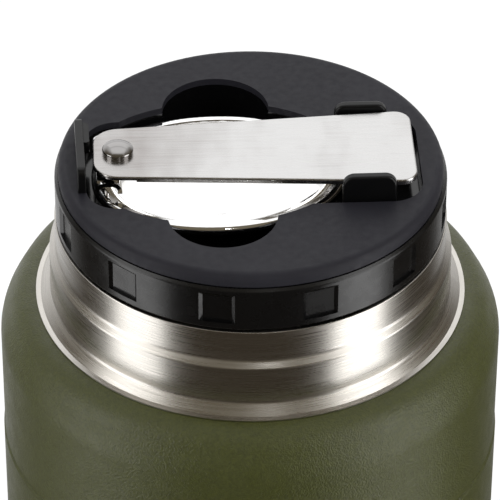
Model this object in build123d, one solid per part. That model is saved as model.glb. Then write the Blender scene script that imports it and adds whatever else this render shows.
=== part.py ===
"""Insulated food jar: a vacuum jar with a screw stopper that carries a folding spoon.

Millimetres. The origin is the centre of the face the jar stands on, +Z is up, and
the spoon's handle lies roughly along X, with its rivet towards -X.
"""
from build123d import *
from math import cos, pi, radians, sin, sqrt, tan
import os

# ---- the jar's outside -------------------------------------------------------------
RIM_HEIGHT = 141.5          # neck rim above the table
BODY_RADIUS = 57.0          # coated wall above the groove
FOOT_STEP = 0.25            # how far the wall below the groove stands out
GROOVE_HEIGHT = 77.0        # centre of the shallow groove round the body
GROOVE_WIDTH = 1.2
GROOVE_DEPTH = 0.4
SHELL_WALL = 0.8
SHELL_FOOT = 1.0            # underside of the rolled foot above the table
FOOT_CORNER = 3.5           # outer radius of the rolled foot
FOOT_ROLL = 6.0             # how far the foot turns inwards
SHOULDER_WIDTH = 8.3        # body wall to the neck's lip
SHOULDER_SLOPE = 62.0       # degrees below the horizontal
SHOULDER_CUT = 4.5          # how far inside the wall the slope starts
SHOULDER_CROWN = 6.9        # radius at the top of the slope
SHOULDER_BEND = 9.8         # radius at the bottom of the slope
SHOULDER_FALL = 0.25        # drop of the crown from the lip to the slope

# ---- the bare steel neck -----------------------------------------------------------
NECK_WALL = 0.9
SEAT_INSET = 3.35           # lip to the band that an outer cup slides over
SEAT_LENGTH = 9.3
STEP_RISE = 1.4             # height of the sloping step under the upper band
STEP_INSET = 1.35           # how far the upper band is set in from the seat
UPPER_BAND_LENGTH = 7.7
THREAD_INSET = 2.8          # upper band to the wall that carries the thread
FLARE_RISE = 2.15
FLARE_REACH = 2.25
LIP_FALL = 0.15
LIP_THICKNESS = 0.35
LIP_LAP = 1.6               # width of the lip that lies on the shoulder
BAND_ROUND = 0.5
LEDGE_ROUND = 0.2

# ---- the screw thread between neck and stopper -------------------------------------
THREAD_STARTS = 3
THREAD_LEAD = 12.0          # rise for one turn
THREAD_ARC = 100.0          # degrees that one start runs round
THREAD_BASE = 1.6           # axial thickness at the root
THREAD_CREST = 0.8          # axial thickness at the crest
THREAD_DEPTH = 0.7
THREAD_PLAY = 0.4           # radial room beyond each crest
THREAD_RISE = 1.1           # centre of a start's low end above the wall's lower edge
THREAD_BITE = 0.3           # how deep a ridge is rooted in its wall

# ---- the liner and the parts in the vacuum gap -------------------------------------
LINER_WALL = 0.7
RIM_WIDTH = 2.3             # mouth to the outside of the thread's wall
LINER_INSET = 5.2           # body wall to the inside of the food space
LINER_FLOOR = 11.5          # inside of the liner's floor above the table
LINER_CORNER = 9.0
LINER_SHOULDER_RISE = 13.0
MOUTH_LENGTH = 26.5         # straight wall below the rim
RIM_FLANGE = 0.7
LINER_SHOULDER_ROUND = 5.0
FOIL_THICKNESS = 0.3
FOIL_MARGIN = 6.0           # bare liner above and below the foil

# ---- the bottom --------------------------------------------------------------------
PLATE_HEIGHT = 7.0          # underside of the welded plate
PLATE_THICKNESS = 0.8
PLATE_RIM = 3.0             # height of the rim that is welded to the wall
VENT_RADIUS = 1.0
SEAL_RADIUS = 3.0
SEAL_HEIGHT = 1.6
CAP_WALL = 0.8
CAP_CLEARANCE = 0.1
PAD_THICKNESS = 1.8
PAD_INSET = 4.25            # foot's opening to the pad
PAD_WIDTH = 16.0
PAD_GROOVE_WIDTH = 1.4
PAD_GROOVE_DEPTH = 0.6
PAD_GROOVES = 3
PAD_ROUND = 0.4
GETTER_OFFSET = 24.0
GETTER_RADIUS = 5.0
GETTER_HEIGHT = 1.1
GETTER_CUP_WALL = 0.4

# ---- the stopper -------------------------------------------------------------------
RIM_GAP = 0.3               # room between the rim and the stopper's web
WEB_THICKNESS = 1.8
PLUG_FLANGE = 1.2
TRAY_FLOOR = 1.2
SLOT_DEPTH = 4.0
DECK_INSET = 1.1            # neck's upper band to the deck's edge
DECK_PLATE = 1.6
DECK_WALL = 1.6
DECK_SIDE = 3.2             # height of the deck's rim
DECK_ROUND = 1.9
DECK_CHAMFER = 0.25
RING_STEP = 0.8             # how far the ring stands out from the deck
RING_WALL = 1.2
RING_TOP_FLAT = 0.2         # flat of the ring outside the deck's rim
RING_ROUND = 0.55
SKIRT_DROP = 14.2           # deck face to skirt edge
SKIRT_GAP = 0.35            # skirt edge to the neck's ledge
POCKETS = 12
POCKET_START = -9.5         # degrees from the front to a pocket's centre
POCKET_WIDTH = 8.4          # at the ring's face
POCKET_TOP = 1.4            # below the ring's top
POCKET_HEIGHT = 7.8
POCKET_DEPTH = 0.75
POCKET_BEVEL = 1.0          # slope of the sides and the top
FIT = 0.1                   # room between pieces that are pressed or glued together

# ---- the plug in the mouth ---------------------------------------------------------
PLUG_RUN = 0.7              # room between the plug and the mouth
PLUG_WALL = 1.3
PLUG_STEP_DEPTH = 13.0      # deck face to the step that backs the gasket
PLUG_STEP = 2.4             # how far the plug narrows there
PLUG_DEPTH = 33.0           # deck face to the food side of the plug
BEAD_HEIGHT = 1.2
BEAD_REACH = 1.2
GASKET_HEIGHT = 3.5
GASKET_GAP = 0.3            # room round the gasket, which doesn't turn with the plug
GASKET_LIP = 0.9
BASE_THICKNESS = 1.6
BASE_UPSTAND = 3.4
BASE_ROUND = 1.4
FOAM_GAP = 0.2

# ---- the recess for the spoon ------------------------------------------------------
RECESS_SHIFT = -1.9         # the recess lies a little towards the front
RECESS_YAW = 3.0
SLOT_MARGIN = 5.85          # deck's edge to each end of the slot
SLOT_SHIFT = 0.45           # slot's middle towards the handle's free end
CLIP_ROOM = 0.75            # clip to the slot's side
SLOT_CORNER = 7.0
NOTCH_RADIUS = 12.05
NOTCH_BITE = 0.5            # how far a notch's centre lies inside the bowl's side
NOTCH_MIDDLE = -7.0
NOTCH_SHIFT = 1.1           # towards the back
TRAY_WALL = 0.9
WELL_MARGIN = 0.9           # room round the bowl below the slot's floor
MOUTH_MARGIN = 1.1          # room round the bowl's lip at the deck
WELL_SLOPE = 20.0           # degrees from upright
NOTCH_SLOPE = 8.0
SEAT_GAP = 0.3              # under the bowl

# ---- the folding spoon -------------------------------------------------------------
PIVOT_INSET = 7.2           # end of the slot to the rivet
PIVOT_Y = 0.6               # the handle and its slot lie a little to the back
BOWL_YAW = 0.8              # against the recess
SHEET = 0.9                 # steel of handle and bowl
HANDLE_TOP = 3.4            # above the deck
HANDLE_DEPTH = 1.3          # with its folded edges
HANDLE_ROOM = 2.9           # how much shorter the handle is than the slot
HANDLE_TAIL = 5.6           # beyond the rivet
HANDLE_NARROW = 8.8         # half width at the rivet's end
HANDLE_WIDE = 13.3          # half width at the free end
HANDLE_TAIL_ROUND = 5.8
HANDLE_END_ROUND = 3.6
HANDLE_EDGE = 0.45
FLAT_TAIL = 9.5             # length at the rivet's end without folded edges
TANG_HALF_WIDTH = 9.2
TANG_TAIL = 5.6             # beyond the rivet
TANG_NOSE = 0.6             # towards the bowl
TANG_EYE = 4.4              # radius of the tang round the rivet
TANG_PLATE = 4.9            # flat part behind the rivet
TANG_LEG_WIDTH = 2.2
TANG_THICKNESS = 1.0
TANG_TOP = 1.75             # above the deck
TANG_BEND = 2.3             # outer radius where it turns down into its legs
TANG_LEG_DEPTH = 2.9        # from the tang's top to the tips of the legs
NECK_WIDTH = 10.0           # strip that joins the tang to the bowl's rim
BOWL_RIM = -2.4             # above the deck
BOWL_SHORTER = 17.0         # how much shorter the bowl is than the handle
BOWL_OVERLAP = 4.7          # how far the bowl's rim reaches past the rivet
BOWL_LEAN = 0.3             # how far the widest place lies towards the rivet
BOWL_HALF_WIDTH = 20.1
BOWL_LIP = 1.3              # how far the rolled lip stands out all round
BOWL_LIP_DROP = 1.45
BOWL_LIP_ROUND = 1.25
BOWL_BACK_POWER = 2.15      # how square the rivet's end is
BOWL_FRONT_POWER = 2.0
BOWL_DEPTH = 8.7
BOWL_POINTS = 20            # points that set out each half of the rim
BOWL_LEVELS = 4             # sections between the rim and the bottom
BOWL_FLAT = 0.3             # share of the outline left at the bottom
RIVET_RADIUS = 2.0
RIVET_HEAD_RADIUS = 3.45
RIVET_HEAD_HEIGHT = 2.3
RIVET_CROWN = 1.2           # rise of the domed part of the head
RIVET_EDGE = 0.35
RIVET_FOOT_RADIUS = 3.2
RIVET_FOOT_HEIGHT = 0.8
RIVET_PLAY = 0.06
WASHER_RADIUS = 4.6

# ---- clips and latch ---------------------------------------------------------------
CLIP_INSET = 16.8           # handle's free end to the clips' nearer end
CLIP_LENGTH = 11.9
FRONT_CLIP_TOP = 6.1        # above the deck
REAR_CLIP_TOP = 4.8
CLIP_THICKNESS = 2.1
CLIP_PLAY = 0.35            # between handle and clip
CLIP_CORNER = 2.6
CLIP_ROUND = 0.6
LATCH_OUTSET = 1.15         # slot's end to the middle of the plate
LATCH_Y = 0.7
LATCH_YAW = 1.4
LATCH_LENGTH = 20.6
LATCH_THICKNESS = 1.8
LATCH_TOP = 6.0             # above the deck
LATCH_CORNER = 1.6
LATCH_ROUND = 0.3
HOOK_LENGTH = 7.5
HOOK_SHIFT = 5.5
HOOK_REACH = 1.3
HOOK_TOP = 5.0
HOOK_THICKNESS = 3.0

# ---- radii and lengths that follow -------------------------------------------------
FOOT_RADIUS = BODY_RADIUS + FOOT_STEP
FOOT_OPENING = FOOT_RADIUS - FOOT_ROLL
LIP_RADIUS = BODY_RADIUS - SHOULDER_WIDTH
SEAT_RADIUS = LIP_RADIUS - SEAT_INSET
UPPER_BAND_RADIUS = SEAT_RADIUS - STEP_INSET
THREAD_ROOT = UPPER_BAND_RADIUS - THREAD_INSET
FLARE_RADIUS = SEAT_RADIUS + FLARE_REACH
MOUTH_RADIUS = THREAD_ROOT - RIM_WIDTH
LINER_RADIUS = BODY_RADIUS - LINER_INSET
PAD_OUTER = FOOT_OPENING - PAD_INSET
PAD_INNER = PAD_OUTER - PAD_WIDTH
DECK_RADIUS = UPPER_BAND_RADIUS - DECK_INSET
RING_RADIUS = DECK_RADIUS + RING_STEP
RING_BORE = THREAD_ROOT + THREAD_DEPTH + THREAD_PLAY
RING_POCKET = RING_BORE - RING_WALL + FIT
PLUG_RADIUS = MOUTH_RADIUS - PLUG_RUN
PLUG_BORE = PLUG_RADIUS - PLUG_WALL
PLUG_LOW_RADIUS = PLUG_RADIUS - PLUG_STEP
PLUG_LOW_BORE = PLUG_LOW_RADIUS - PLUG_WALL
SLOT_LENGTH = 2 * (DECK_RADIUS - SLOT_MARGIN)
SLOT_END = SLOT_SHIFT - SLOT_LENGTH / 2
SLOT_WIDTH = 2 * (HANDLE_WIDE + CLIP_THICKNESS + CLIP_ROOM)
PIVOT_X = SLOT_END + PIVOT_INSET
HANDLE_LENGTH = SLOT_LENGTH - HANDLE_ROOM
BOWL_REACH = (HANDLE_LENGTH - BOWL_SHORTER) / 2
BOWL_MIDDLE = BOWL_REACH - BOWL_OVERLAP - BOWL_LEAN
NOTCH_OFFSET = BOWL_HALF_WIDTH - NOTCH_BITE
CLIP_FROM = HANDLE_LENGTH - HANDLE_TAIL - CLIP_INSET

# ---- heights that follow -----------------------------------------------------------
WEB_BOTTOM = RIM_HEIGHT + RIM_GAP
WEB_TOP = WEB_BOTTOM + WEB_THICKNESS
FLANGE_TOP = WEB_TOP + PLUG_FLANGE
SLOT_FLOOR = FLANGE_TOP + TRAY_FLOOR
DECK_TOP = SLOT_FLOOR + SLOT_DEPTH
DECK_UNDER = DECK_TOP - DECK_PLATE
RING_TOP = DECK_TOP - DECK_SIDE
SKIRT_BOTTOM = DECK_TOP - SKIRT_DROP
LEDGE = SKIRT_BOTTOM - SKIRT_GAP
STEP_TOP = LEDGE - UPPER_BAND_LENGTH
SEAT_TOP = STEP_TOP - STEP_RISE
SEAT_BOTTOM = SEAT_TOP - SEAT_LENGTH
FLARE_BOTTOM = SEAT_BOTTOM - FLARE_RISE
LIP_BOTTOM = FLARE_BOTTOM - LIP_FALL - LIP_THICKNESS
PLUG_STEP_HEIGHT = DECK_TOP - PLUG_STEP_DEPTH
PLUG_BOTTOM = DECK_TOP - PLUG_DEPTH
BOWL_BOTTOM = DECK_TOP + BOWL_RIM - BOWL_DEPTH
WELL_FLOOR = BOWL_BOTTOM - SEAT_GAP

RECESS = Location((0, RECESS_SHIFT, 0), (0, 0, RECESS_YAW))
PIVOT = RECESS * Location((PIVOT_X, PIVOT_Y, 0))
BOWL_PLACE = PIVOT * Location((0, 0, 0), (0, 0, BOWL_YAW))


# ---- helpers -----------------------------------------------------------------------
def lathe(*corners):
    """Solid of revolution about Z from (radius, height) or (radius, height, fillet)."""
    points = [(corner[0], corner[1]) for corner in corners]
    fillets = [corner[2] if len(corner) > 2 else 0 for corner in corners]
    outline = FilletPolyline(*points, radius=fillets, close=True)
    return revolve(Plane.XZ * make_face(outline), Axis.Z)


def disc(radius, low, high):
    """Upright cylinder about Z between two heights."""
    return Pos(0, 0, low) * Cylinder(radius, high - low, align=(Align.CENTER, Align.CENTER, Align.MIN))


def tube(inner, outer, low, high):
    """Upright ring about Z between two heights."""
    return disc(outer, low, high) - disc(inner, low, high)


def prism(sketch, low, high):
    """Upright extrusion of a flat sketch between two heights."""
    return extrude(Pos(0, 0, low) * sketch, amount=high - low)


def thread(radius, reach, phase, low):
    """Interrupted multi-start ridges on a wall; a negative reach points inwards."""
    inward = 1 if reach > 0 else -1
    path = Helix(pitch=THREAD_LEAD, height=THREAD_LEAD * THREAD_ARC / 360, radius=radius)
    section = Plane(origin=path @ 0, x_dir=(1, 0, 0), z_dir=(0, 1, 0)) * make_face(
        Polyline(
            (-inward * THREAD_BITE, -THREAD_BASE / 2),
            (reach, -THREAD_CREST / 2),
            (reach, THREAD_CREST / 2),
            (-inward * THREAD_BITE, THREAD_BASE / 2),
            close=True,
        )
    )
    ridge = Pos(0, 0, low) * sweep(section, path=path, is_frenet=True)
    pitch_angle = 360 / THREAD_STARTS
    return [Rot(0, 0, phase + pitch_angle * start) * ridge for start in range(THREAD_STARTS)]


# ---- the jar -----------------------------------------------------------------------
def shell_outline(wall):
    """Corners of the coated shell's face, set in from the outside by wall."""
    slope = radians(SHOULDER_SLOPE)
    fall = SHOULDER_CUT * tan(slope)
    shift = wall * tan(slope / 2)
    top = LIP_BOTTOM - wall
    crown = BODY_RADIUS - SHOULDER_CUT
    bend = wall * tan((pi / 2 - slope) / 2)
    groove = GROOVE_WIDTH / 2
    dent = 0 if wall else GROOVE_DEPTH
    return [
        (LIP_RADIUS - LIP_LAP + FIT, top),
        (crown - shift, top - SHOULDER_FALL, SHOULDER_CROWN - wall),
        (BODY_RADIUS - wall, top + wall - SHOULDER_FALL - fall - bend, SHOULDER_BEND - wall),
        (BODY_RADIUS - wall, GROOVE_HEIGHT + groove),
        (BODY_RADIUS - wall - dent, GROOVE_HEIGHT),
        (FOOT_RADIUS - wall, GROOVE_HEIGHT - groove),
        (FOOT_RADIUS - wall, SHELL_FOOT + wall, FOOT_CORNER - wall),
        (FOOT_OPENING, SHELL_FOOT + wall),
    ]


def make_outer_shell():
    return lathe(*shell_outline(0), *reversed(shell_outline(SHELL_WALL)))


def make_neck_collar():
    wall = NECK_WALL
    inside = SEAT_RADIUS - wall
    lap = LIP_RADIUS - LIP_LAP
    top = RIM_HEIGHT - RIM_FLANGE
    collar = lathe(
        (LIP_RADIUS, LIP_BOTTOM),
        (LIP_RADIUS, LIP_BOTTOM + LIP_THICKNESS),
        (FLARE_RADIUS, FLARE_BOTTOM),
        (SEAT_RADIUS, SEAT_BOTTOM, BAND_ROUND * 2),
        (SEAT_RADIUS, SEAT_TOP, BAND_ROUND),
        (UPPER_BAND_RADIUS, STEP_TOP, BAND_ROUND * 2),
        (UPPER_BAND_RADIUS, LEDGE, LEDGE_ROUND),
        (THREAD_ROOT, LEDGE, BAND_ROUND),
        (THREAD_ROOT, top),
        (THREAD_ROOT - wall, top),
        (THREAD_ROOT - wall, LEDGE - wall),
        (UPPER_BAND_RADIUS - wall, LEDGE - wall),
        (UPPER_BAND_RADIUS - wall, STEP_TOP - wall / 2),
        (inside, SEAT_TOP - wall / 2),
        (inside, SEAT_BOTTOM - wall / 2),
        (lap, LIP_BOTTOM - wall / 2),
        (lap, LIP_BOTTOM),
    )
    for ridge in thread(THREAD_ROOT, THREAD_DEPTH, 0, LEDGE + THREAD_RISE):
        collar += ridge
    return collar


def make_inner_vessel():
    wall = LINER_WALL
    low = LINER_FLOOR - wall
    mouth_end = RIM_HEIGHT - MOUTH_LENGTH
    body_top = mouth_end - LINER_SHOULDER_RISE
    flange = RIM_HEIGHT - RIM_FLANGE
    return lathe(
        (0, low),
        (LINER_RADIUS + wall, low, LINER_CORNER),
        (LINER_RADIUS + wall, body_top + wall / 2, LINER_SHOULDER_ROUND + wall),
        (MOUTH_RADIUS + wall, mouth_end + wall / 2, LINER_SHOULDER_ROUND),
        (MOUTH_RADIUS + wall, flange),
        (THREAD_ROOT, flange),
        (THREAD_ROOT, RIM_HEIGHT, RIM_FLANGE / 2),
        (MOUTH_RADIUS, RIM_HEIGHT, RIM_FLANGE / 2),
        (MOUTH_RADIUS, mouth_end, LINER_SHOULDER_ROUND + wall),
        (LINER_RADIUS, body_top, LINER_SHOULDER_ROUND),
        (LINER_RADIUS, LINER_FLOOR, LINER_CORNER - wall),
        (0, LINER_FLOOR),
    )


def make_copper_foil():
    inner = LINER_RADIUS + LINER_WALL
    low = LINER_FLOOR + LINER_CORNER + FOIL_MARGIN
    high = RIM_HEIGHT - MOUTH_LENGTH - LINER_SHOULDER_RISE - FOIL_MARGIN
    return tube(inner, inner + FOIL_THICKNESS, low, high)


def make_shell_base_plate():
    inside = FOOT_RADIUS - SHELL_WALL
    top = PLATE_HEIGHT + PLATE_THICKNESS
    return lathe(
        (VENT_RADIUS, PLATE_HEIGHT),
        (inside - PLATE_THICKNESS, PLATE_HEIGHT),
        (inside - PLATE_THICKNESS, top - PLATE_RIM),
        (inside, top - PLATE_RIM),
        (inside, top, PLATE_THICKNESS),
        (VENT_RADIUS, top),
    )


def make_vacuum_seal():
    bead = lathe(
        (0, PLATE_HEIGHT - SEAL_HEIGHT),
        (SEAL_RADIUS, PLATE_HEIGHT - SEAL_HEIGHT, SEAL_HEIGHT * 0.9),
        (SEAL_RADIUS, PLATE_HEIGHT),
        (0, PLATE_HEIGHT),
    )
    return bead + disc(VENT_RADIUS, PLATE_HEIGHT, PLATE_HEIGHT + PLATE_THICKNESS)


def make_base_cap():
    outer = FOOT_OPENING - CAP_CLEARANCE
    return lathe(
        (0, PAD_THICKNESS),
        (outer, PAD_THICKNESS, CAP_WALL),
        (outer, PLATE_HEIGHT),
        (outer - CAP_WALL, PLATE_HEIGHT),
        (outer - CAP_WALL, PAD_THICKNESS + CAP_WALL),
        (0, PAD_THICKNESS + CAP_WALL),
    )


def make_base_pad():
    pad = lathe(
        (PAD_INNER, 0, PAD_ROUND),
        (PAD_OUTER, 0, PAD_ROUND),
        (PAD_OUTER, PAD_THICKNESS),
        (PAD_INNER, PAD_THICKNESS),
    )
    pitch = (PAD_OUTER - PAD_INNER) / (PAD_GROOVES + 1)
    for groove in range(PAD_GROOVES):
        middle = PAD_INNER + pitch * (groove + 1)
        half = PAD_GROOVE_WIDTH / 2
        pad -= tube(middle - half, middle + half, 0, PAD_GROOVE_DEPTH)
    return pad


def make_getter_clip():
    base = PLATE_HEIGHT + PLATE_THICKNESS
    outer = GETTER_RADIUS + GETTER_CUP_WALL
    cup = disc(outer, base, base + GETTER_CUP_WALL + GETTER_HEIGHT)
    cup -= disc(GETTER_RADIUS, base + GETTER_CUP_WALL, base + GETTER_CUP_WALL + GETTER_HEIGHT)
    return Pos(GETTER_OFFSET, 0, 0) * cup


def make_getter():
    base = PLATE_HEIGHT + PLATE_THICKNESS + GETTER_CUP_WALL
    return Pos(GETTER_OFFSET, 0, 0) * disc(GETTER_RADIUS - FIT / 2, base, base + GETTER_HEIGHT)


# ---- outlines of the recess, in the recess's own directions ------------------------
def bowl_outline(margin=0, share=1.0):
    """Closed curve round the bowl's rim, grown by a margin or shrunk to a share."""
    points = []
    half_width = (BOWL_HALF_WIDTH + margin) * share
    for step in range(2 * BOWL_POINTS):
        angle = pi * step / BOWL_POINTS
        ahead = cos(angle) > 0
        lean = BOWL_LEAN if ahead else -BOWL_LEAN
        reach = (BOWL_REACH + lean + margin) * share
        power = BOWL_FRONT_POWER if ahead else BOWL_BACK_POWER
        along = (1 if ahead else -1) * reach * abs(cos(angle)) ** (2 / power)
        across = half_width * abs(sin(angle)) ** (2 / power)
        points.append((BOWL_MIDDLE + along, across if sin(angle) >= 0 else -across))
    return make_face(Spline(*points, periodic=True))


def bowl_in_recess(margin):
    """The bowl's outline laid in the recess."""
    return Location((PIVOT_X, PIVOT_Y, 0), (0, 0, BOWL_YAW)) * bowl_outline(margin)


def notch_outlines(margin):
    """The two round finger notches at the bowl's sides."""
    circle = Circle(NOTCH_RADIUS + margin)
    return [Pos(NOTCH_MIDDLE, NOTCH_SHIFT + side * NOTCH_OFFSET) * circle for side in (-1, 1)]


def opening_outline(margin=0):
    """The hole in the deck: the handle's slot, the bowl's rim and the finger notches."""
    slot = Pos(SLOT_SHIFT, PIVOT_Y) * RectangleRounded(
        SLOT_LENGTH + 2 * margin, SLOT_WIDTH + 2 * margin, SLOT_CORNER + margin
    )
    outline = slot + bowl_in_recess(BOWL_LIP + MOUTH_MARGIN + margin)
    for notch in notch_outlines(margin):
        outline += notch
    return outline


def well(margin, low, high):
    """The deep part of the recess under the slot's floor; its walls slope inwards."""
    bowl_draft = (high - low) * tan(radians(WELL_SLOPE))
    notch_draft = (high - low) * tan(radians(NOTCH_SLOPE))
    bottom = Pos(0, 0, low) * bowl_in_recess(WELL_MARGIN + margin - bowl_draft)
    top = Pos(0, 0, high) * bowl_in_recess(WELL_MARGIN + margin)
    body = loft([bottom, top], ruled=True)
    for low_circle, high_circle in zip(notch_outlines(margin - notch_draft), notch_outlines(margin)):
        body += loft([Pos(0, 0, low) * low_circle, Pos(0, 0, high) * high_circle], ruled=True)
    return body


# ---- the stopper -------------------------------------------------------------------
def make_deck_cover():
    cover = lathe(
        (0, DECK_TOP),
        (DECK_RADIUS, DECK_TOP, DECK_ROUND),
        (DECK_RADIUS, RING_TOP + DECK_CHAMFER),
        (DECK_RADIUS - DECK_CHAMFER, RING_TOP),
        (DECK_RADIUS - DECK_WALL, RING_TOP),
        (DECK_RADIUS - DECK_WALL, DECK_UNDER),
        (0, DECK_UNDER),
    )
    return cover - RECESS * prism(opening_outline(), DECK_UNDER - 1, DECK_TOP + 1)


def grip_pocket():
    """Cutter for one shallow grip pocket, centred on +X, with sloping sides and top."""
    floor = RING_RADIUS - POCKET_DEPTH
    high = RING_TOP - POCKET_TOP
    low = high - POCKET_HEIGHT
    half = POCKET_WIDTH / 2
    side_view = make_face(
        Polyline(
            (floor, low),
            (RING_RADIUS + 1, low),
            (RING_RADIUS + 1, high),
            (RING_RADIUS, high),
            (floor, high - POCKET_BEVEL),
            close=True,
        )
    )
    top_view = make_face(
        Polyline(
            (floor, POCKET_BEVEL - half),
            (RING_RADIUS, -half),
            (RING_RADIUS + 1, -half),
            (RING_RADIUS + 1, half),
            (RING_RADIUS, half),
            (floor, half - POCKET_BEVEL),
            close=True,
        )
    )
    return extrude(Plane.XZ * side_view, amount=half, both=True) & prism(top_view, low - 1, high + 1)


def make_grip_ring():
    flat = DECK_RADIUS + RING_TOP_FLAT
    ring = lathe(
        (RING_POCKET, RING_TOP),
        (flat, RING_TOP),
        (RING_RADIUS, RING_TOP - (RING_RADIUS - flat), RING_ROUND),
        (RING_RADIUS, SKIRT_BOTTOM, RING_ROUND),
        (RING_BORE, SKIRT_BOTTOM),
        (RING_BORE, WEB_BOTTOM),
        (PLUG_RADIUS + FIT, WEB_BOTTOM),
        (PLUG_RADIUS + FIT, WEB_TOP),
        (RING_POCKET, WEB_TOP),
    )
    for pocket in range(POCKETS):
        ring -= Rot(0, 0, POCKET_START - 90 + pocket * 360 / POCKETS) * grip_pocket()
    half_pitch = 180 / THREAD_STARTS
    for ridge in thread(RING_BORE, -THREAD_DEPTH, half_pitch, SKIRT_BOTTOM + THREAD_RISE):
        ring += ridge
    return ring


def make_spoon_tray():
    tray = prism(opening_outline(TRAY_WALL), FLANGE_TOP, DECK_UNDER)
    tray += well(TRAY_WALL, WELL_FLOOR - TRAY_FLOOR, SLOT_FLOOR)
    tray -= prism(opening_outline(), SLOT_FLOOR, DECK_UNDER)
    tray -= well(0, WELL_FLOOR, SLOT_FLOOR)
    return RECESS * tray


def make_stopper_plug():
    flange = RING_POCKET - FIT
    bead_top = PLUG_STEP_HEIGHT - GASKET_HEIGHT - 2 * GASKET_GAP
    bead = PLUG_LOW_RADIUS + BEAD_REACH
    base_top = PLUG_BOTTOM + BASE_THICKNESS
    return lathe(
        (PLUG_BORE, FLANGE_TOP),
        (flange, FLANGE_TOP),
        (flange, WEB_TOP),
        (PLUG_RADIUS, WEB_TOP),
        (PLUG_RADIUS, PLUG_STEP_HEIGHT),
        (PLUG_LOW_RADIUS, PLUG_STEP_HEIGHT),
        (PLUG_LOW_RADIUS, bead_top),
        (bead, bead_top),
        (bead, bead_top - BEAD_HEIGHT / 2),
        (PLUG_LOW_RADIUS, bead_top - BEAD_HEIGHT),
        (PLUG_LOW_RADIUS, base_top),
        (PLUG_LOW_BORE, base_top),
        (PLUG_LOW_BORE, PLUG_STEP_HEIGHT),
        (PLUG_BORE, PLUG_STEP_HEIGHT + PLUG_WALL),
    )


def make_plug_base():
    top = PLUG_BOTTOM + BASE_THICKNESS
    outer = PLUG_LOW_BORE - FIT
    return lathe(
        (0, PLUG_BOTTOM),
        (PLUG_LOW_RADIUS, PLUG_BOTTOM, BASE_ROUND),
        (PLUG_LOW_RADIUS, top),
        (outer, top),
        (outer, top + BASE_UPSTAND),
        (outer - PLUG_WALL, top + BASE_UPSTAND),
        (outer - PLUG_WALL, top),
        (0, top),
    )


def make_plug_foam():
    radius = PLUG_LOW_BORE - FIT - PLUG_WALL - FOAM_GAP
    low = PLUG_BOTTOM + BASE_THICKNESS
    return disc(radius, low, WELL_FLOOR - TRAY_FLOOR - FOAM_GAP)


def make_mouth_gasket():
    inner = PLUG_LOW_RADIUS + GASKET_GAP
    outer = MOUTH_RADIUS - GASKET_GAP
    high = PLUG_STEP_HEIGHT - GASKET_GAP
    low = high - GASKET_HEIGHT
    body = outer - GASKET_LIP
    return lathe(
        (inner, low),
        (body, low),
        (outer, high - GASKET_HEIGHT / 2),
        (outer, high - GASKET_LIP / 2),
        (body, high),
        (inner, high),
    )


# ---- clips and latch ---------------------------------------------------------------
def handle_half_width(along):
    """Half width of the handle at a distance from the rivet."""
    share = (along + HANDLE_TAIL) / HANDLE_LENGTH
    return HANDLE_NARROW + (HANDLE_WIDE - HANDLE_NARROW) * share


def make_clip(side, top):
    """Upright tab with rounded top corners that stands in the slot beside the handle."""
    middle = CLIP_FROM + CLIP_LENGTH / 2
    height = DECK_TOP + top - SLOT_FLOOR
    face = Rectangle(CLIP_LENGTH, height, align=(Align.CENTER, Align.MIN))
    face = fillet(face.vertices().group_by(Axis.Y)[-1], CLIP_CORNER)
    tab = extrude(Plane.XZ * face, amount=CLIP_THICKNESS / 2, both=True)
    tab = fillet(tab.edges().group_by(Axis.Z)[-1], CLIP_ROUND)
    inner = handle_half_width(CLIP_FROM + CLIP_LENGTH) + CLIP_PLAY
    place = Location((middle, side * (inner + CLIP_THICKNESS / 2), SLOT_FLOOR))
    return PIVOT * place * tab


def make_end_latch():
    """Upright plate on the deck with a hook tab that reaches to the handle's end."""
    face = Rectangle(LATCH_LENGTH, LATCH_TOP, align=(Align.CENTER, Align.MIN))
    face = fillet(face.vertices().group_by(Axis.Y)[-1], LATCH_CORNER)
    plate = extrude(Plane.YZ * face, amount=LATCH_THICKNESS / 2, both=True)
    plate = fillet(plate.edges().group_by(Axis.Z)[-1], LATCH_ROUND)
    hook = Pos(LATCH_THICKNESS / 2, HOOK_SHIFT, HOOK_TOP) * Box(
        2 * HOOK_REACH, HOOK_LENGTH, HOOK_THICKNESS, align=(Align.CENTER, Align.CENTER, Align.MAX)
    )
    latch = plate + fillet(hook.edges().filter_by(Axis.Z), HOOK_REACH * 0.6)
    place = Location((SLOT_END - LATCH_OUTSET, LATCH_Y, DECK_TOP), (0, 0, LATCH_YAW))
    return RECESS * place * latch


# ---- the spoon ---------------------------------------------------------------------
def handle_outline(inset=0):
    """Tapered outline of the handle with rounded corners, about the rivet."""
    back = -HANDLE_TAIL + inset
    front = HANDLE_LENGTH - HANDLE_TAIL - inset
    narrow = HANDLE_NARROW - inset
    wide = HANDLE_WIDE - inset
    tail_round = HANDLE_TAIL_ROUND - inset
    end_round = HANDLE_END_ROUND - inset
    outline = FilletPolyline(
        (back, -narrow),
        (front, -wide),
        (front, wide),
        (back, narrow),
        radius=[tail_round, end_round, end_round, tail_round],
        close=True,
    )
    return make_face(outline)


def make_spoon_handle():
    top = DECK_TOP + HANDLE_TOP
    handle = prism(handle_outline(), top - HANDLE_DEPTH, top)
    handle = fillet(handle.edges().group_by(Axis.Z)[-1], HANDLE_EDGE)
    handle -= prism(handle_outline(SHEET), top - HANDLE_DEPTH, top - SHEET)
    tail = Pos(-HANDLE_TAIL, 0, top - SHEET) * Box(
        2 * FLAT_TAIL, 4 * HANDLE_NARROW, HANDLE_DEPTH, align=(Align.CENTER, Align.CENTER, Align.MAX)
    )
    handle -= tail
    handle -= disc(RIVET_RADIUS + RIVET_PLAY, top - HANDLE_DEPTH, top + 1)
    return PIVOT * handle


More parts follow.
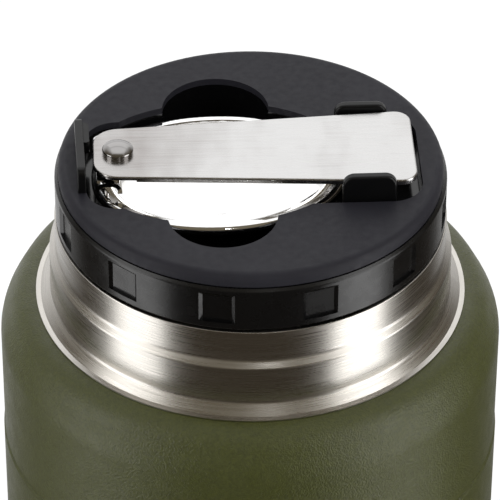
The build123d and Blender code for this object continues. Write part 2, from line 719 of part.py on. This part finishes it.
def bowl_body(inset):
    """Filled bowl, lofted through shrinking outlines from the rim to the bottom."""
    depth = BOWL_DEPTH - inset
    sections = []
    for level in range(BOWL_LEVELS + 1):
        share = level / BOWL_LEVELS
        drop = depth * sin(share * pi / 2)
        size = BOWL_FLAT + (1 - BOWL_FLAT) * cos(share * pi / 2)
        sections.append(Pos(0, 0, DECK_TOP + BOWL_RIM - drop) * bowl_outline(-inset, size))
    return loft(sections)


def make_bowl_lip():
    """Lip that stands out round the bowl's rim and rolls down."""
    high = DECK_TOP + BOWL_RIM
    low = high - BOWL_LIP_DROP
    lip = prism(bowl_outline(BOWL_LIP), low, high)
    lip = fillet(lip.edges().group_by(Axis.Z)[-1], BOWL_LIP_ROUND)
    lip -= prism(bowl_outline(BOWL_LIP - SHEET), low, high - SHEET)
    return lip - prism(bowl_outline(-SHEET), low, high)


def tang_arch(inset):
    """Filled side view of the tang's legs, drawn in from the outside by inset."""
    top = DECK_TOP + TANG_TOP
    bend = TANG_BEND - inset
    outline = FilletPolyline(
        (-TANG_TAIL + inset, top - TANG_LEG_DEPTH),
        (-TANG_TAIL + inset, top - inset),
        (TANG_NOSE - inset, top - inset),
        (TANG_NOSE - inset, top - TANG_LEG_DEPTH),
        radius=[0, bend, bend, 0],
        close=True,
    )
    return make_face(outline)


def make_tang():
    """Flat tang under the handle with an eye round the rivet; its ends turn down into short legs."""
    top = DECK_TOP + TANG_TOP
    section = tang_arch(0) - tang_arch(TANG_THICKNESS)
    legs = extrude(Plane.XZ * section, amount=TANG_LEG_WIDTH / 2, both=True)
    leg_side = TANG_HALF_WIDTH - TANG_LEG_WIDTH / 2
    plate = Pos(-TANG_PLATE / 2, 0) * Rectangle(TANG_PLATE, 2 * leg_side)
    tang = prism(plate + Circle(TANG_EYE), top - TANG_THICKNESS, top)
    for side in (-1, 1):
        tang += Pos(0, side * leg_side, 0) * legs
    return tang


def make_neck():
    """Strip that rises from the rivet's end of the bowl's rim to the tang."""
    low = DECK_TOP + BOWL_RIM - SHEET
    high = DECK_TOP + TANG_TOP - TANG_THICKNESS / 2
    wall = prism(bowl_outline(), low, high) - prism(bowl_outline(-SHEET), low - 1, high + 1)
    return wall & (Pos(0, 0, (low + high) / 2) * Box(2 * TANG_TAIL, NECK_WIDTH, high - low))


def make_spoon_bowl():
    tang_low = DECK_TOP + TANG_TOP - TANG_THICKNESS
    bowl = bowl_body(0) - bowl_body(SHEET) + make_bowl_lip() + make_neck() + make_tang()
    bowl -= disc(RIVET_RADIUS + RIVET_PLAY, tang_low - 1, tang_low + TANG_THICKNESS + 1)
    return BOWL_PLACE * bowl


def make_rivet_head():
    """Round head with a domed crown, on top of the handle."""
    low = DECK_TOP + HANDLE_TOP
    high = low + RIVET_HEAD_HEIGHT
    ball = (RIVET_HEAD_RADIUS ** 2 + RIVET_CROWN ** 2) / (2 * RIVET_CROWN)
    head = disc(RIVET_HEAD_RADIUS, low, high) & (Pos(0, 0, high - ball) * Sphere(ball))
    rim = head.edges().filter_by(Plane.XY).sort_by(Axis.Z)[-1]
    return fillet(rim, RIVET_EDGE)


def make_spoon_rivet():
    """Shank with a domed head on the handle and a flat foot under the tang."""
    foot = DECK_TOP + TANG_TOP - TANG_THICKNESS - RIVET_PLAY
    shank = lathe(
        (0, foot - RIVET_FOOT_HEIGHT),
        (RIVET_FOOT_RADIUS, foot - RIVET_FOOT_HEIGHT, RIVET_FOOT_HEIGHT / 2),
        (RIVET_FOOT_RADIUS, foot),
        (RIVET_RADIUS, foot),
        (RIVET_RADIUS, DECK_TOP + HANDLE_TOP),
        (0, DECK_TOP + HANDLE_TOP),
    )
    return PIVOT * (shank + make_rivet_head())


def make_spoon_washer():
    low = DECK_TOP + TANG_TOP + RIVET_PLAY
    high = DECK_TOP + HANDLE_TOP - SHEET
    return PIVOT * tube(RIVET_RADIUS + RIVET_PLAY, WASHER_RADIUS, low, high)


# ---- all the pieces ----------------------------------------------------------------
PIECES = {
    "outer_shell": make_outer_shell(),
    "neck_collar": make_neck_collar(),
    "inner_vessel": make_inner_vessel(),
    "copper_foil": make_copper_foil(),
    "shell_base_plate": make_shell_base_plate(),
    "vacuum_seal": make_vacuum_seal(),
    "base_cap": make_base_cap(),
    "base_pad": make_base_pad(),
    "getter_clip": make_getter_clip(),
    "getter": make_getter(),
    "deck_cover": make_deck_cover(),
    "grip_ring": make_grip_ring(),
    "spoon_tray": make_spoon_tray(),
    "stopper_plug": make_stopper_plug(),
    "plug_base": make_plug_base(),
    "plug_foam": make_plug_foam(),
    "mouth_gasket": make_mouth_gasket(),
    "front_clip": make_clip(-1, FRONT_CLIP_TOP),
    "rear_clip": make_clip(1, REAR_CLIP_TOP),
    "end_latch": make_end_latch(),
    "spoon_handle": make_spoon_handle(),
    "spoon_bowl": make_spoon_bowl(),
    "spoon_rivet": make_spoon_rivet(),
    "spoon_washer": make_spoon_washer(),
}

os.makedirs("parts", exist_ok=True)
for name, piece in PIECES.items():
    piece.label = name
    export_step(piece, f"parts/{name}.step")
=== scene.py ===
"""Looks of the insulated food jar: materials, studio and camera.

Metres, in the frame of the solids: the jar stands on z = 0, +X is to the right of the
photograph and +Y points away from its camera.
"""
from math import cos, pi, radians, sin

import bpy
from mathutils import Matrix, Vector

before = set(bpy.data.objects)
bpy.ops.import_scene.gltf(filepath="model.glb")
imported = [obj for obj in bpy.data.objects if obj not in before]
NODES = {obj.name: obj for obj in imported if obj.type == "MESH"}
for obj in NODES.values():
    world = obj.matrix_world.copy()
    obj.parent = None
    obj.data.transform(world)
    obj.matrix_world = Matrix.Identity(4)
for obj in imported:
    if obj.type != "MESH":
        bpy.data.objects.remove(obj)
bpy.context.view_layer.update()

MM = 0.001

# ---- places on the jar -------------------------------------------------------------
DECK_HEIGHT = 0.150
RIVET_PLACE = (-0.0294, -0.0028, 0.1534)
HANDLE_YAW = 3.0                    # degrees from +X to the handle's free end

# ---- camera ------------------------------------------------------------------------
CAMERA_DISTANCE = 0.858             # from the middle of the deck
CAMERA_ELEVATION = 36.2
CAMERA_ROLL = 0.24
AIM = (-0.0001, 0.0, 0.1242)
LENS = 278.3
SENSOR_WIDTH = 36.0
NEAR_CLIP = 0.05
FAR_CLIP = 20.0

# ---- floor -------------------------------------------------------------------------
FLOOR_SIZE = 8.0
FLOOR_TONE = (0.9, 0.9, 0.9)
FLOOR_ROUGHNESS = 0.9
FLOOR_GLOW = 1.15                   # strength of the white that only the camera sees
FLOOR_GLOW_SHARE = 0.8              # the rest of the floor keeps the jar's shadow

# ---- room --------------------------------------------------------------------------
ROOM_SOFT = (0.43, 0.43, 0.43)      # what soft light and matt surfaces get from the room
ROOM_LOW = (0.050, 0.040, 0.029)    # what gloss sees below and in front
ROOM_HIGH = (0.15, 0.128, 0.090)    # what gloss sees in front, higher up
ROOM_BACK = (1.0, 1.0, 1.0)         # what gloss sees behind
ROOM_TOP = (1.0, 1.0, 1.0)          # what gloss sees overhead
ROOM_SEEN = (1.0, 1.0, 1.0)         # what the camera sees
FRONT_EDGE = (-0.3, 0.8)            # between ROOM_LOW and ROOM_HIGH
BACK_EDGE = (0.40, 0.92)            # between the front and ROOM_BACK
BACK_LEAN = -0.14                   # brings ROOM_BACK further round on the left
TOP_EDGE = (0.84, 1.06)             # between the walls and ROOM_TOP
TOP_LEAN = 0.6                      # brings ROOM_TOP further down behind

# ---- lamps -------------------------------------------------------------------------
LAMP_AIM = (0, 0, 0.13)
LEFT_LIGHT = 2.4
RIGHT_LIGHT = LEFT_LIGHT * 1.15
TOP_LIGHT = 0.3
BACK_LIGHT = 0.35
SPOT_LIGHT = 20.0

# ---- colours (linear) --------------------------------------------------------------
COAT_GREEN = (0.072, 0.080, 0.0115)
COAT_GREEN_DARK = (0.041, 0.045, 0.0064)
STEEL = (0.62, 0.595, 0.555)
BRIGHT_STEEL = (0.61, 0.605, 0.60)
# low end of the handle's tone: random wear, and painted shade round the rivet
WORN_AND_SHADED_STEEL = (0.34, 0.32, 0.31)
MIRROR_STEEL = (0.90, 0.895, 0.89)
RIVET_STEEL = (0.36, 0.35, 0.345)
COPPER = (0.74, 0.42, 0.28)
DECK_BLACK = (0.020, 0.0195, 0.0250)
GLOSS_BLACK = (0.0032, 0.0032, 0.0034)
PLUG_BLACK = (0.02, 0.02, 0.021)
PAD_BLACK = (0.018, 0.018, 0.019)
FOAM_CREAM = (0.75, 0.73, 0.66)
SILICONE_WHITE = (0.62, 0.62, 0.60)
PELLET_GREY = (0.09, 0.09, 0.095)
GLASS_GREY = (0.20, 0.21, 0.22)

# ---- brushing: texture cells on a metre along each axis ----------------------------
RING_SHEEN = (60, 60, 5200)
RING_TONE = (90, 90, 3000)
HANDLE_LINES = (45, 3000, 800)
HANDLE_CLOUD = (110, 45, 100)
NOISE_RANGE = (0.3, 0.7)            # nearly all of a noise texture lies in it


# ---- node helpers ------------------------------------------------------------------
class Surface:
    """A Principled material with short ways to add procedural detail."""

    def __init__(self, name, colour, roughness, metallic=0.0):
        self.material = bpy.data.materials.new(name)
        self.material.use_nodes = True
        self.tree = self.material.node_tree
        self.shader = self.tree.nodes["Principled BSDF"]
        self.set("Base Color", (*colour, 1.0))
        self.set("Roughness", roughness)
        self.set("Metallic", metallic)
        self.normal = None

    def set(self, socket, value):
        self.shader.inputs[socket].default_value = value

    def node(self, kind, **settings):
        made = self.tree.nodes.new(kind)
        for key, value in settings.items():
            setattr(made, key, value)
        return made

    def link(self, source, target):
        self.tree.links.new(source, target)

    def place(self, scale=(1, 1, 1), turn=0.0):
        """Object coordinates, turned about Z and stretched."""
        coordinates = self.node("ShaderNodeTexCoord")
        turned = self.node("ShaderNodeMapping")
        turned.inputs["Rotation"].default_value = (0, 0, radians(-turn))
        stretched = self.node("ShaderNodeMapping")
        stretched.inputs["Scale"].default_value = scale
        self.link(coordinates.outputs["Object"], turned.inputs["Vector"])
        self.link(turned.outputs["Vector"], stretched.inputs["Vector"])
        return stretched.outputs["Vector"]

    def noise(self, vector, scale=1.0, detail=3.0, roughness=0.55):
        texture = self.node("ShaderNodeTexNoise")
        texture.inputs["Scale"].default_value = scale
        texture.inputs["Detail"].default_value = detail
        texture.inputs["Roughness"].default_value = roughness
        self.link(vector, texture.inputs["Vector"])
        return texture.outputs["Fac"]

    def distance(self, point, near, far):
        """0 near a point on the object and 1 away from it."""
        coordinates = self.node("ShaderNodeTexCoord")
        apart = self.node("ShaderNodeVectorMath", operation="DISTANCE")
        apart.inputs[1].default_value = point
        self.link(coordinates.outputs["Object"], apart.inputs[0])
        return self.ramp(apart.outputs["Value"], near, far)

    def ramp(self, value, low, high, out_low=0.0, out_high=1.0):
        """Maps a value from one range to another, clamped."""
        mapped = self.node("ShaderNodeMapRange")
        mapped.inputs["From Min"].default_value = low
        mapped.inputs["From Max"].default_value = high
        mapped.inputs["To Min"].default_value = out_low
        mapped.inputs["To Max"].default_value = out_high
        self.link(value, mapped.inputs["Value"])
        return mapped.outputs["Result"]

    def vary_roughness(self, value, low, high):
        self.link(self.ramp(value, *NOISE_RANGE, low, high), self.shader.inputs["Roughness"])

    def vary_colour(self, value, low, high, between=NOISE_RANGE):
        mix = self.node("ShaderNodeMix", data_type="RGBA")
        mix.inputs["A"].default_value = (*low, 1.0)
        mix.inputs["B"].default_value = (*high, 1.0)
        self.link(self.ramp(value, *between), mix.inputs["Factor"])
        self.link(mix.outputs["Result"], self.shader.inputs["Base Color"])

    def bump(self, value, strength, depth):
        """Adds a layer of relief; depth is in metres."""
        bump = self.node("ShaderNodeBump")
        bump.inputs["Strength"].default_value = strength
        bump.inputs["Distance"].default_value = depth
        self.link(value, bump.inputs["Height"])
        if self.normal:
            self.link(self.normal, bump.inputs["Normal"])
        self.normal = bump.outputs["Normal"]
        self.link(self.normal, self.shader.inputs["Normal"])


def with_share(tree, first, share, second):
    """The second value with a share of the first added."""
    added = tree.nodes.new("ShaderNodeMath")
    added.operation = "MULTIPLY_ADD"
    tree.links.new(first, added.inputs[0])
    added.inputs[1].default_value = share
    tree.links.new(second, added.inputs[2])
    return added.outputs[0]


def eased(tree, value, low, high):
    """0 to 1 as a value passes from one limit to another."""
    mapped = tree.nodes.new("ShaderNodeMapRange")
    mapped.interpolation_type = "SMOOTHSTEP"
    mapped.inputs["From Min"].default_value = low
    mapped.inputs["From Max"].default_value = high
    tree.links.new(value, mapped.inputs["Value"])
    return mapped.outputs["Result"]


def blend(tree, share, first, second):
    """Mix of two colours, each a triple or a socket."""
    mix = tree.nodes.new("ShaderNodeMix")
    mix.data_type = "RGBA"
    tree.links.new(share, mix.inputs["Factor"])
    for name, value in (("A", first), ("B", second)):
        if isinstance(value, tuple):
            mix.inputs[name].default_value = (*value, 1.0)
        else:
            tree.links.new(value, mix.inputs[name])
    return mix.outputs["Result"]


# ---- materials ---------------------------------------------------------------------
def powder_coat():
    """Baked powder: fine orange peel, uneven in tone and sheen."""
    surface = Surface("powder_coat", COAT_GREEN, roughness=0.5)
    surface.set("Specular IOR Level", 0.6)
    place = surface.place()
    tone = surface.noise(place, scale=1300, detail=4.0, roughness=0.7)
    surface.vary_colour(tone, COAT_GREEN_DARK, COAT_GREEN)
    sheen = surface.noise(place, scale=260)
    surface.vary_roughness(sheen, 0.38, 0.48)
    peel = surface.noise(place, scale=700, detail=2.0, roughness=0.5)
    surface.bump(peel, strength=0.6, depth=0.08 * MM)
    powder = surface.noise(place, scale=2300, detail=2.0, roughness=0.6)
    surface.bump(powder, strength=1.0, depth=0.17 * MM)
    return surface.material


def turned_steel(name, colour, roughness):
    """Steel brushed round the jar's axis: fine rings, uneven in tone and sheen."""
    surface = Surface(name, colour, roughness, metallic=1.0)
    sheen = surface.noise(surface.place(RING_SHEEN), detail=4.0, roughness=0.6)
    surface.vary_roughness(sheen, roughness * 0.8, roughness * 1.25)
    darker = tuple(channel * 0.86 for channel in colour)
    tone = surface.noise(surface.place(RING_TONE), detail=4.0, roughness=0.7)
    surface.vary_colour(tone, darker, colour)
    surface.bump(sheen, strength=0.06, depth=0.02 * MM)
    return surface.material


def brushed_handle():
    """Steel sheet brushed along the handle, with random wear, and painted shade that makes it
    darker and warmer round the rivet.
    """
    surface = Surface("brushed_handle", BRIGHT_STEEL, roughness=0.25, metallic=1.0)
    lines = surface.noise(surface.place(HANDLE_LINES, HANDLE_YAW), detail=5.0, roughness=0.7)
    cloud = surface.noise(surface.place(HANDLE_CLOUD, HANDLE_YAW), detail=2.0)
    # painted shade: darkest within 4 mm of the rivet, fading out by 30 mm
    rivet_shade_falloff = surface.distance(RIVET_PLACE, near=4 * MM, far=30 * MM)
    wear_and_rivet_shade = with_share(surface.tree, rivet_shade_falloff, 0.6, cloud)
    tone = with_share(surface.tree, lines, 0.9, wear_and_rivet_shade)
    surface.vary_roughness(lines, 0.17, 0.36)
    # the darker end mixes random wear with the painted shade round the rivet
    surface.vary_colour(tone, WORN_AND_SHADED_STEEL, BRIGHT_STEEL, between=(0.80, 1.55))
    surface.bump(lines, strength=0.30, depth=0.02 * MM)
    return surface.material


def polished_steel(name, colour, roughness):
    """Buffed metal with an uneven sheen and a little waviness."""
    surface = Surface(name, colour, roughness, metallic=1.0)
    place = surface.place()
    sheen = surface.noise(place, scale=420, detail=4.0)
    surface.vary_roughness(sheen, roughness * 0.6, roughness * 1.8)
    waves = surface.noise(place, scale=140, detail=2.0)
    surface.bump(waves, strength=0.10, depth=0.05 * MM)
    return surface.material


def moulded(name, colour, roughness, grain, relief, specular=0.5):
    """Moulded or pressed material; grain is how many texture cells lie on a metre."""
    surface = Surface(name, colour, roughness)
    surface.set("Specular IOR Level", specular)
    place = surface.place()
    lighter = tuple(channel * 1.25 for channel in colour)
    surface.vary_colour(surface.noise(place, scale=70), colour, lighter)
    sheen = surface.noise(place, scale=grain * 0.4)
    surface.vary_roughness(sheen, roughness * 0.85, roughness * 1.15)
    fine = surface.noise(place, scale=grain, detail=2.0, roughness=0.6)
    surface.bump(fine, strength=relief, depth=0.03 * MM)
    return surface.material


def silicone():
    """Milky silicone that lets a little light in."""
    material = moulded("silicone", SILICONE_WHITE, roughness=0.45, grain=900, relief=0.1)
    shader = material.node_tree.nodes["Principled BSDF"]
    shader.inputs["Subsurface Weight"].default_value = 0.25
    shader.inputs["Subsurface Radius"].default_value = (2 * MM, 2 * MM, 2 * MM)
    return material


def dress(material, *names):
    """Gives CAD nodes their material."""
    for name in names:
        mesh = NODES[name].data
        mesh.materials.clear()
        mesh.materials.append(material)


def dress_all():
    dress(powder_coat(), "outer_shell")
    dress(turned_steel("neck_steel", STEEL, roughness=0.28), "neck_collar")
    dress(turned_steel("liner_steel", STEEL, roughness=0.28), "inner_vessel")
    dress(turned_steel("base_steel", STEEL, roughness=0.26),
          "base_cap", "shell_base_plate", "getter_clip")
    dress(moulded("deck_plastic", DECK_BLACK, roughness=0.50, grain=1500, relief=0.35,
                  specular=0.20), "deck_cover")
    dress(moulded("ring_plastic", GLOSS_BLACK, roughness=0.27, grain=500, relief=0.08),
          "grip_ring")
    dress(moulded("tray_plastic", GLOSS_BLACK, roughness=0.12, grain=300, relief=0.05),
          "spoon_tray")
    dress(moulded("clip_plastic", GLOSS_BLACK, roughness=0.32, grain=700, relief=0.08,
                  specular=0.3), "front_clip", "rear_clip", "end_latch")
    dress(brushed_handle(), "spoon_handle")
    dress(polished_steel("bowl_steel", MIRROR_STEEL, roughness=0.06), "spoon_bowl")
    dress(polished_steel("rivet_steel", RIVET_STEEL, roughness=0.10),
          "spoon_rivet", "spoon_washer")
    dress(moulded("plug_plastic", PLUG_BLACK, roughness=0.38, grain=900, relief=0.15),
          "stopper_plug", "plug_base")
    dress(moulded("foam", FOAM_CREAM, roughness=0.9, grain=1200, relief=0.8), "plug_foam")
    dress(silicone(), "mouth_gasket")
    dress(moulded("pad_rubber", PAD_BLACK, roughness=0.7, grain=1400, relief=0.4), "base_pad")
    dress(polished_steel("copper", COPPER, roughness=0.2), "copper_foil")
    dress(moulded("getter_pellet", PELLET_GREY, roughness=0.8, grain=1600, relief=0.6), "getter")
    dress(moulded("seal_glass", GLASS_GREY, roughness=0.15, grain=300, relief=0.1),
          "vacuum_seal")


# ---- studio ------------------------------------------------------------------------
def make_floor():
    """Pale floor that shows white to the camera and keeps the jar's soft shadow."""
    bpy.ops.mesh.primitive_plane_add(size=FLOOR_SIZE)
    floor = bpy.context.object
    floor.name = "floor"
    material = bpy.data.materials.new("floor")
    material.use_nodes = True
    tree = material.node_tree
    shader = tree.nodes["Principled BSDF"]
    shader.inputs["Base Color"].default_value = (*FLOOR_TONE, 1.0)
    shader.inputs["Roughness"].default_value = FLOOR_ROUGHNESS
    glow = tree.nodes.new("ShaderNodeEmission")
    glow.inputs["Strength"].default_value = FLOOR_GLOW
    path = tree.nodes.new("ShaderNodeLightPath")
    share = tree.nodes.new("ShaderNodeMath")
    share.operation = "MULTIPLY"
    share.inputs[1].default_value = FLOOR_GLOW_SHARE
    mix = tree.nodes.new("ShaderNodeMixShader")
    tree.links.new(path.outputs["Is Camera Ray"], share.inputs[0])
    tree.links.new(share.outputs[0], mix.inputs["Fac"])
    tree.links.new(shader.outputs[0], mix.inputs[1])
    tree.links.new(glow.outputs[0], mix.inputs[2])
    tree.links.new(mix.outputs[0], tree.nodes["Material Output"].inputs["Surface"])
    floor.data.materials.append(material)
    floor.visible_glossy = False


def make_world():
    """White to the camera and even for soft light.

    Gloss sees a dim front, with a bright back and top that ease into it.
    """
    world = bpy.data.worlds.new("studio")
    bpy.context.scene.world = world
    world.use_nodes = True
    world.cycles.sampling_method = "NONE"
    tree = world.node_tree
    path = tree.nodes.new("ShaderNodeLightPath")
    direction = tree.nodes.new("ShaderNodeTexCoord")
    split = tree.nodes.new("ShaderNodeSeparateXYZ")
    tree.links.new(direction.outputs["Generated"], split.inputs[0])
    right, back, up = split.outputs["X"], split.outputs["Y"], split.outputs["Z"]
    front = blend(tree, eased(tree, up, *FRONT_EDGE), ROOM_LOW, ROOM_HIGH)
    behind = with_share(tree, right, BACK_LEAN, back)
    walls = blend(tree, eased(tree, behind, *BACK_EDGE), front, ROOM_BACK)
    overhead = with_share(tree, back, TOP_LEAN, up)
    room = blend(tree, eased(tree, overhead, *TOP_EDGE), walls, ROOM_TOP)
    reflected = blend(tree, path.outputs["Is Glossy Ray"], ROOM_SOFT, room)
    seen = blend(tree, path.outputs["Is Camera Ray"], reflected, ROOM_SEEN)
    tree.links.new(seen, tree.nodes["Background"].inputs["Color"])


def outward(azimuth, elevation):
    """Direction away from the jar; azimuth runs from the front, positive to the right."""
    a = radians(azimuth)
    e = radians(elevation)
    return Vector((sin(a) * cos(e), -cos(a) * cos(e), sin(e)))


def add_to_scene(name, data):
    added = bpy.data.objects.new(name, data)
    bpy.context.scene.collection.objects.link(added)
    return added


def make_softbox(name, azimuth, elevation, distance, width, height, radiance):
    """Rectangular lamp that the camera doesn't see."""
    lamp = bpy.data.lights.new(name, "AREA")
    lamp.shape = "RECTANGLE"
    lamp.size = width
    lamp.size_y = height
    lamp.energy = radiance * pi * width * height
    away = outward(azimuth, elevation)
    holder = add_to_scene(name, lamp)
    holder.location = Vector(LAMP_AIM) + away * distance
    holder.rotation_mode = "QUATERNION"
    holder.rotation_quaternion = away.to_track_quat("Z", "Y")
    holder.visible_camera = False


def make_lights():
    make_softbox("left_softbox", azimuth=-67, elevation=0, distance=0.75,
                 width=0.44, height=1.5, radiance=LEFT_LIGHT)
    make_softbox("right_softbox", azimuth=65, elevation=0, distance=0.75,
                 width=0.46, height=1.5, radiance=RIGHT_LIGHT)
    make_softbox("top_softbox", azimuth=180, elevation=76, distance=1.2,
                 width=1.2, height=0.8, radiance=TOP_LIGHT)
    make_softbox("back_softbox", azimuth=180, elevation=34, distance=1.2,
                 width=1.3, height=0.7, radiance=BACK_LIGHT)
    make_softbox("front_spot", azimuth=11, elevation=42, distance=1.0,
                 width=0.05, height=0.05, radiance=SPOT_LIGHT)


def make_camera():
    data = bpy.data.cameras.new("camera")
    data.lens = LENS
    data.sensor_width = SENSOR_WIDTH
    data.clip_start = NEAR_CLIP
    data.clip_end = FAR_CLIP
    camera = add_to_scene("camera", data)
    place = outward(0, CAMERA_ELEVATION) * CAMERA_DISTANCE + Vector((0, 0, DECK_HEIGHT))
    look = (Vector(AIM) - place).to_track_quat("-Z", "Y")
    roll = Matrix.Rotation(radians(CAMERA_ROLL), 4, "Z")
    camera.matrix_world = Matrix.Translation(place) @ look.to_matrix().to_4x4() @ roll
    bpy.context.scene.camera = camera


dress_all()
make_floor()
make_world()
make_lights()
make_camera()
bpy.context.scene.view_settings.view_transform = "Standard"
